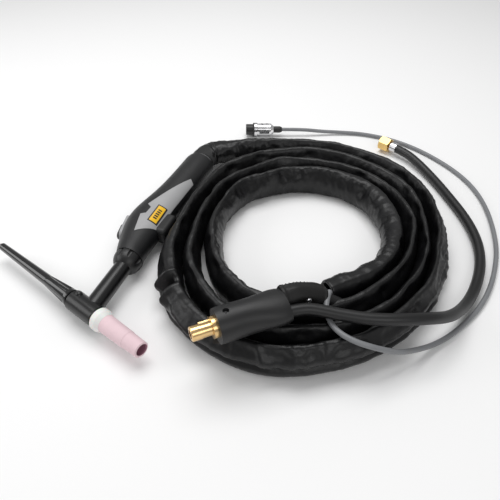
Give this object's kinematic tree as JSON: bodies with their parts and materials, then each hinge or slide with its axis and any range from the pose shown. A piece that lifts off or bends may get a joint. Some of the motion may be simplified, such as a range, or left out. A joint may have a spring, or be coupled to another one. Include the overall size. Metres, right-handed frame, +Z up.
{
  "type": "tig torch",
  "caption": "Gas-cooled TIG welding torch lying beside its coiled covered cable, with a trigger grip, long back cap, ceramic cup, power plug, gas hose and control lead.",
  "frame": {"origin": "centre of the torch's own box at the bench plane, its cords left out", "axes": "+X along the grip from the head to the cable, +Y from the cup's side to the back cap's side, +Z up from the bench; the torch lies on its side"},
  "size_m": [0.4661, 0.503, 0.0693],
  "materials": {
    "brass_inner": "turned, satin",
    "head_rubber": "smooth moulded rubber, satin",
    "cap_plastic": "polished moulded plastic",
    "seal_rubber": "soft, matte",
    "copper_parts": "turned copper",
    "tungsten": "ground along its length",
    "gasket_plastic": "satin white",
    "cup_ceramic": "unglazed fired alumina",
    "collar_rubber": "matte",
    "grip_plastic": "fine moulded texture",
    "panel_plastic": "fine moulded texture",
    "label_film": "printed film",
    "screw_steel": "plated",
    "rest_rubber": "matte",
    "cuff_rubber": "satin",
    "button_plastic": "satin",
    "switch_plastic": "moulded",
    "spring_steel": "spring temper",
    "hose_inner": "extruded",
    "lead_vinyl": "extruded",
    "brass_pin": "turned",
    "boot_rubber": "satin moulded",
    "power_sheath": "extruded",
    "brass_nut": "turned hexagon",
    "ferrule_steel": "crimped",
    "insert_plastic": "moulded",
    "contact_metal": "plated",
    "plug_chrome": "bright plated",
    "relief_rubber": "moulded",
    "cover_leatherette": "coated fabric, soft sheen",
    "cuff_leather": "grained, closed with a press stud",
    "hose_rubber": "smooth, satin",
    "cable_grey": "extruded",
    "snap_metal": "pressed, plated"
  },
  "bodies": {
    "torch": {"head_core": "brass_inner", "neck_pipe": "brass_inner", "head_cover": "head_rubber", "collet_body": "copper_parts", "collet": "copper_parts", "cup_gasket": "gasket_plastic", "neck_collar": "collar_rubber", "grip_shell_upper": "grip_plastic", "grip_shell_lower": "grip_plastic", "side_panel_upper": "panel_plastic", "side_panel_lower": "panel_plastic", "rating_label": "label_film", "grip_screws": "screw_steel", "finger_rest": "rest_rubber", "rear_ring": "panel_plastic", "grip_cuff": "cuff_rubber", "trigger_bezel": "panel_plastic", "snap_switch": "switch_plastic", "switch_lever": "spring_steel", "power_fitting": "brass_inner", "power_hose": "hose_inner", "trigger_leads": "lead_vinyl", "dinse_pin": "brass_pin", "dinse_boot": "boot_rubber", "set_screw": "screw_steel", "power_end": "power_sheath", "gas_tail": "brass_inner", "gas_nipple": "brass_inner", "hose_ferrule": "ferrule_steel", "plug_insert": "insert_plastic", "plug_contacts": "contact_metal", "plug_seal": "seal_rubber", "plug_shell": "plug_chrome", "clamp_screws": "screw_steel", "strain_relief": "relief_rubber", "cover_lead": "cover_leatherette", "leather_cuff": "cuff_leather", "gas_hose": "hose_rubber", "control_cable": "cable_grey", "cover_coil": "cover_leatherette", "cuff_snap": "snap_metal"},
    "cap_thread": {"cap_seal": "seal_rubber"},
    "cap": {"back_cap": "cap_plastic"},
    "cup": {"ceramic_cup": "cup_ceramic"},
    "electrode_rod": {"electrode": "tungsten"},
    "trigger": {"trigger_button": "button_plastic"},
    "nut": {"gas_nut": "brass_nut"},
    "ring": {"coupling_ring": "plug_chrome"}
  },
  "joints": [
    {"name": "cap_screw", "type": "slide", "parent": "torch", "child": "cap_thread", "axis": [0.342, 0.9397, 0], "range_m": [0, 0.01]},
    {"name": "cap_turn", "type": "hinge", "parent": "cap_thread", "child": "cap", "pos_m": [-0.10367, 0.00229, 0.0174], "axis": [0.342, 0.9397, 0], "range_deg": [0, 3600]},
    {"name": "cup_draw", "type": "slide", "parent": "torch", "child": "cup", "axis": [-0.342, -0.9397, 0], "range_m": [0, 0.05]},
    {"name": "electrode_draw", "type": "slide", "parent": "torch", "child": "electrode_rod", "axis": [-0.342, -0.9397, 0], "range_m": [-0.01, 0.03]},
    {"name": "trigger_press", "type": "slide", "parent": "torch", "child": "trigger", "axis": [0.1994, -0.9799, 0], "range_m": [0, 0.0012], "stiffness_N_per_m": 2500},
    {"name": "nut_turn", "type": "hinge", "parent": "torch", "child": "nut", "pos_m": [0.2849, -0.24854, 0.0108], "axis": [-0.4195, -0.9078, 0], "continuous": true},
    {"name": "ring_turn", "type": "hinge", "parent": "torch", "child": "ring", "pos_m": [0.26576, -0.06964, 0.0097], "axis": [0.3256, -0.9455, 0], "continuous": true}
  ],
  "couplings": [
    {"joint": "cap_turn", "follows": "cap_screw", "rad_per_m": 6283.2}
  ]
}
